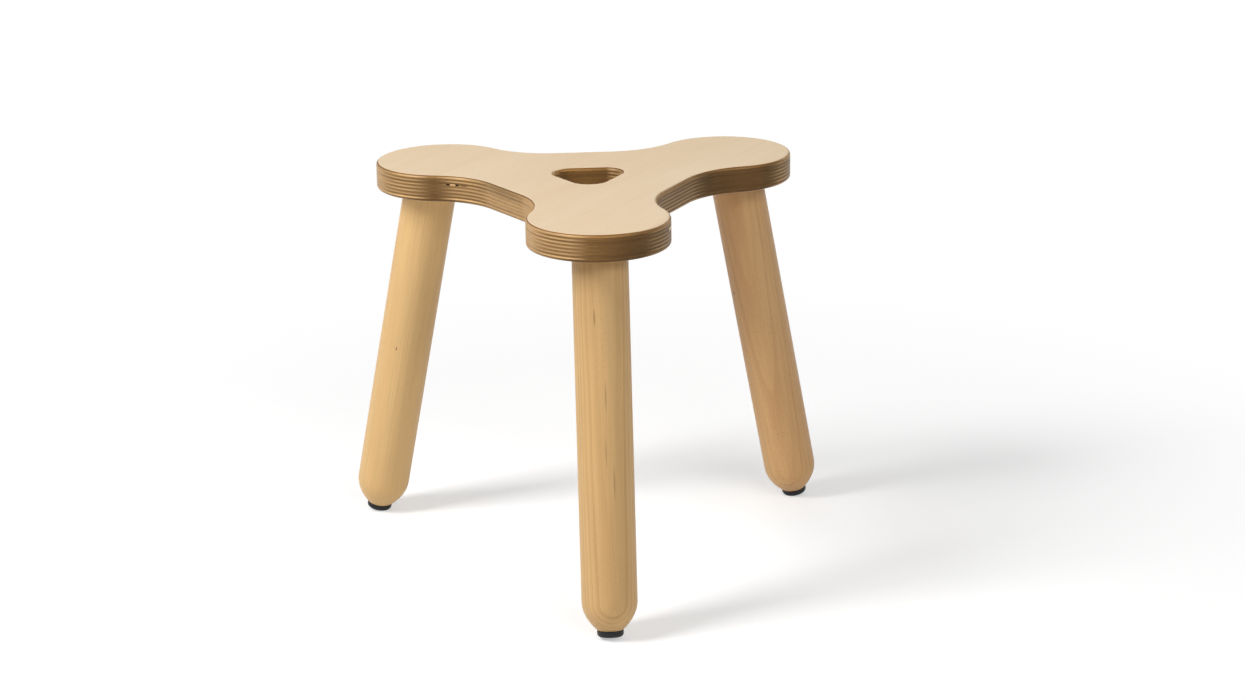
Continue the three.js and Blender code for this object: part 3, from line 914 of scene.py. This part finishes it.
def black_plastic():
    """Moulded black plastic: a fine spark-eroded grain, scuffed paler where it meets the floor."""
    s = Surface("glide_plastic")
    place = s.node("ShaderNodeTexCoord").outputs["Object"]
    grain = s.noise(place, PLASTIC_GRAIN_SCALES, roughness=0.6)
    cloud = s.noise(place, PLASTIC_CLOUD_SCALES)
    height = s.separate(s.node("ShaderNodeNewGeometry").outputs["Position"])["Z"]
    scuff = s.math("MULTIPLY", s.range(height, 0.0, SCUFF_HEIGHT, 1.0, 0.0),
                   s.range(cloud, *TO_SCUFF))
    colour = s.mix(s.math("MULTIPLY", scuff, SCUFF_STRENGTH), PLASTIC_COLOUR, SCUFF_COLOUR)
    rough = s.math("ADD", s.range(cloud, *PLASTIC_ROUGHNESS),
                   s.math("MULTIPLY", scuff, SCUFF_ROUGHER))
    s.set(Base_Color=colour, Roughness=rough, Specular_IOR_Level=PLASTIC_SPECULAR,
          Normal=s.bump(grain, PLASTIC_RELIEF, SMALL_PART_RELIEF_STRENGTH))
    return s.material


def plated_steel():
    """Zinc plating: a cool, faintly mottled grey with fine drawn scratches up the stool."""
    s = Surface("plated_steel")
    place = s.node("ShaderNodeTexCoord").outputs["Object"]
    mottle = s.noise(place, STEEL_MOTTLE_SCALES, detail=3.0)
    drawn = s.noise(place, STEEL_DRAWN_SCALES)
    colour = s.mix(s.range(mottle, *STEEL_MOTTLE), STEEL_COOL_COLOUR, STEEL_WARM_COLOUR)
    s.set(Base_Color=colour, Roughness=s.range(drawn, *STEEL_ROUGHNESS), Metallic=1.0,
          Normal=s.bump(drawn, STEEL_RELIEF, SMALL_PART_RELIEF_STRENGTH))
    return s.material


# Studio

# The floor, as light meets it and as it is seen: grey with a glow that lifts it to white near the
# stool, and turning plain white between two distances from the stool's axis
FLOOR_HALF_SIZE = 12.0
FLOOR_BOUNCE_COLOUR = (0.86, 0.86, 0.86, 1)
FLOOR_SEEN_COLOUR = (0.6, 0.6, 0.6, 1)
FLOOR_GLOW = 0.46
FLOOR_WHITENS = (0.32, 0.8)
WORLD_LIGHT = 0.24
PLAIN_WHITE = 1.0


def is_shown(s):
    """1 for what the camera sees, directly, mirrored or through glass, and 0 for light."""
    path = s.node("ShaderNodeLightPath").outputs
    mirrored = s.math("MAXIMUM", path["Is Glossy Ray"], path["Is Transmission Ray"])
    return s.math("MAXIMUM", path["Is Camera Ray"], mirrored)


def floor_white():
    """White that lights the stool from below. What the camera sees of it is lifted to white:
    it keeps the shadow near the stool, and is plain white farther away."""
    s = Surface("floor")
    bounce = s.node("ShaderNodeBsdfDiffuse", {"Color": FLOOR_BOUNCE_COLOUR})
    shaded = s.node("ShaderNodeBsdfDiffuse", {"Color": FLOOR_SEEN_COLOUR})
    glow = s.node("ShaderNodeEmission", {"Strength": FLOOR_GLOW})
    near = s.node("ShaderNodeAddShader", {0: shaded, 1: glow})
    far = s.node("ShaderNodeEmission", {"Strength": PLAIN_WHITE})
    place = s.node("ShaderNodeTexCoord").outputs["Object"]
    away = s.vector("LENGTH", s.vector("SUBTRACT", place, (0, AXIS_Y, 0)))
    seen = s.node("ShaderNodeMixShader", {0: s.range(away, *FLOOR_WHITENS), 1: near, 2: far})
    choice = s.node("ShaderNodeMixShader", {0: is_shown(s), 1: bounce, 2: seen})
    s.join(choice, s.tree.nodes["Material Output"].inputs["Surface"])
    s.tree.nodes.remove(s.surface)
    return s.material


def make_floor():
    mesh = bmesh.new()
    half = FLOOR_HALF_SIZE
    corners = [(-half, -half, 0), (half, -half, 0), (half, half, 0), (-half, half, 0)]
    mesh.faces.new([mesh.verts.new(corner) for corner in corners])
    floor = add_mesh_object("floor", mesh)
    floor.data.materials.append(floor_white())


def make_world():
    """Even white light from all round; seen directly it is plain white."""
    world = bpy.data.worlds.new("studio")
    bpy.context.scene.world = world
    world.use_nodes = True
    s = Shader(world.node_tree)
    s.tree.nodes.clear()
    light = s.node("ShaderNodeBackground", {"Strength": WORLD_LIGHT})
    seen = s.node("ShaderNodeBackground", {"Strength": PLAIN_WHITE})
    choice = s.node("ShaderNodeMixShader", {0: is_shown(s), 1: light, 2: seen})
    s.node("ShaderNodeOutputWorld", {"Surface": choice})


# Soft boxes: the direction each shines from, in degrees round the stool and above the floor,
# its distance, its width and height, and its power
LAMPS = {
    "key": {"azimuth": 201, "elevation": 42, "distance": 2.8, "size": (0.8, 1.4), "power": 71},
    "fill": {"azimuth": -62, "elevation": 32, "distance": 2.8, "size": (2.2, 0.6), "power": 28},
    "back": {"azimuth": 90, "elevation": 40, "distance": 2.8, "size": (1.6, 1.2), "power": 6},
}


def make_lamps():
    """The soft boxes, which all shine at the middle of the stool."""
    middle = Vector((0, AXIS_Y, SEAT_TOP / 2))
    for name, facts in LAMPS.items():
        azimuth, elevation = math.radians(facts["azimuth"]), math.radians(facts["elevation"])
        away = Vector((math.cos(azimuth) * math.cos(elevation), math.sin(azimuth) * math.cos(elevation),
                       math.sin(elevation)))
        data = bpy.data.lights.new(name, "AREA")
        data.shape = "RECTANGLE"
        data.size, data.size_y = facts["size"]
        data.energy = facts["power"]
        lamp = add_object(name, data)
        lamp.location = middle + away * facts["distance"]
        lamp.rotation_mode = "QUATERNION"
        lamp.rotation_quaternion = away.to_track_quat("Z", "Y")


def make_camera():
    """A camera that takes the photograph's view. Its azimuth turns it to the left from +Y, its
    elevation looks down, and its roll turns it about its line of sight."""
    azimuth, elevation, roll = CAMERA_AZIMUTH, CAMERA_ELEVATION, CAMERA_ROLL
    ahead = Vector((-math.sin(azimuth) * math.cos(elevation), math.cos(azimuth) * math.cos(elevation),
                    -math.sin(elevation)))
    right = Vector((math.cos(azimuth), math.sin(azimuth), 0))
    up = right.cross(ahead)
    rolled_right = right * math.cos(roll) + up * math.sin(roll)
    rolled_up = up * math.cos(roll) - right * math.sin(roll)
    data = bpy.data.cameras.new("camera")
    data.sensor_fit = "HORIZONTAL"
    data.sensor_width = SENSOR_WIDTH_MM
    data.lens = CAMERA_LENS_PIXELS / PHOTO_WIDTH_PIXELS * SENSOR_WIDTH_MM
    camera = add_object("camera", data)
    axes = Matrix((rolled_right, rolled_up, -ahead)).transposed().to_4x4()
    camera.matrix_world = Matrix.Translation(CAMERA_PLACE) @ axes
    bpy.context.scene.camera = camera


# The stool and its studio

def make_legs_and_glides():
    plastic = black_plastic()
    for side, angle in zip(SIDES, SIDE_ANGLES):
        place = leg_frame(angle)
        leg = turned(leg_outline(), TURNED_STEPS)
        finish_mesh(f"turned_leg_{side}", leg, beech(side), f"leg_{side}", place)
        glide = turned(glide_outline(), TURNED_STEPS)
        finish_mesh(f"moulded_glide_{side}", glide, plastic, f"glide_{side}", place)


def plate_fixings():
    """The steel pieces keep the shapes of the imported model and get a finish."""
    steel = plated_steel()
    for name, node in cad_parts.items():
        if name.startswith(("threaded_insert", "hanger_bolt", "glide_nail")):
            node.data.materials.clear()
            node.data.materials.append(steel)


make_camera()
make_seat(birch_plywood())
make_legs_and_glides()
plate_fixings()
make_floor()
make_world()
make_lamps()
bpy.context.scene.view_settings.view_transform = "Standard"
